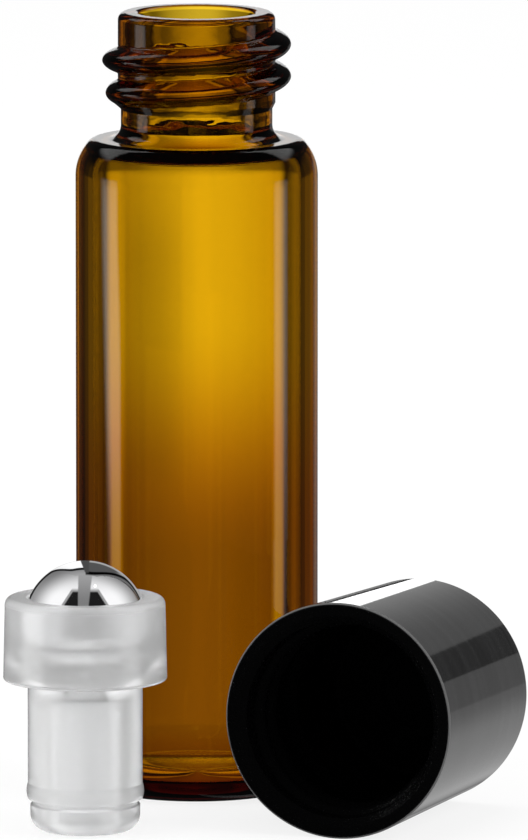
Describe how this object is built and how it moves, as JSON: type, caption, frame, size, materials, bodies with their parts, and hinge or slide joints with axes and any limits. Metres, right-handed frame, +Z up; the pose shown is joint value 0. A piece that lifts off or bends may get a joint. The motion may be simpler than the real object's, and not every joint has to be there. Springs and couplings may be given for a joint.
{
  "type": "roll-on bottle",
  "caption": "Amber glass vial with a screw neck, a plug-in roller housing that holds a steel ball, and a tall black screw cap lying beside it.",
  "frame": {"origin": "centre of the ring that the glass vial stands on", "axes": "+Z up along the vial's neck, -Y towards the viewer, +X towards the lying cap"},
  "size_m": [0.0344, 0.0312, 0.0518],
  "materials": {
    "amber_glass": "clear amber, fire polished",
    "natural_plastic": "natural translucent polyethylene, satin",
    "steel": "polished stainless steel",
    "black_plastic": "glossy, moulded"
  },
  "bodies": {
    "vial": {"vial": "amber_glass"},
    "roller": {"roller_housing": "natural_plastic"},
    "ball": {"roller_ball": "steel"},
    "cap": {"screw_cap": "black_plastic"}
  },
  "joints": [
    {"name": "roller_lift", "type": "slide", "parent": "vial", "child": "roller", "axis": [0, 0, 1], "range_m": [0, 0.06]},
    {"name": "ball_roll", "type": "hinge", "parent": "roller", "child": "ball", "pos_m": [-0.00723, -0.01719, 0.01375], "axis": [1, 0, 0], "continuous": true},
    {"name": "cap_lift", "type": "slide", "parent": "vial", "child": "cap", "axis": [0, 0, 1], "range_m": [0, 0.06]}
  ]
}
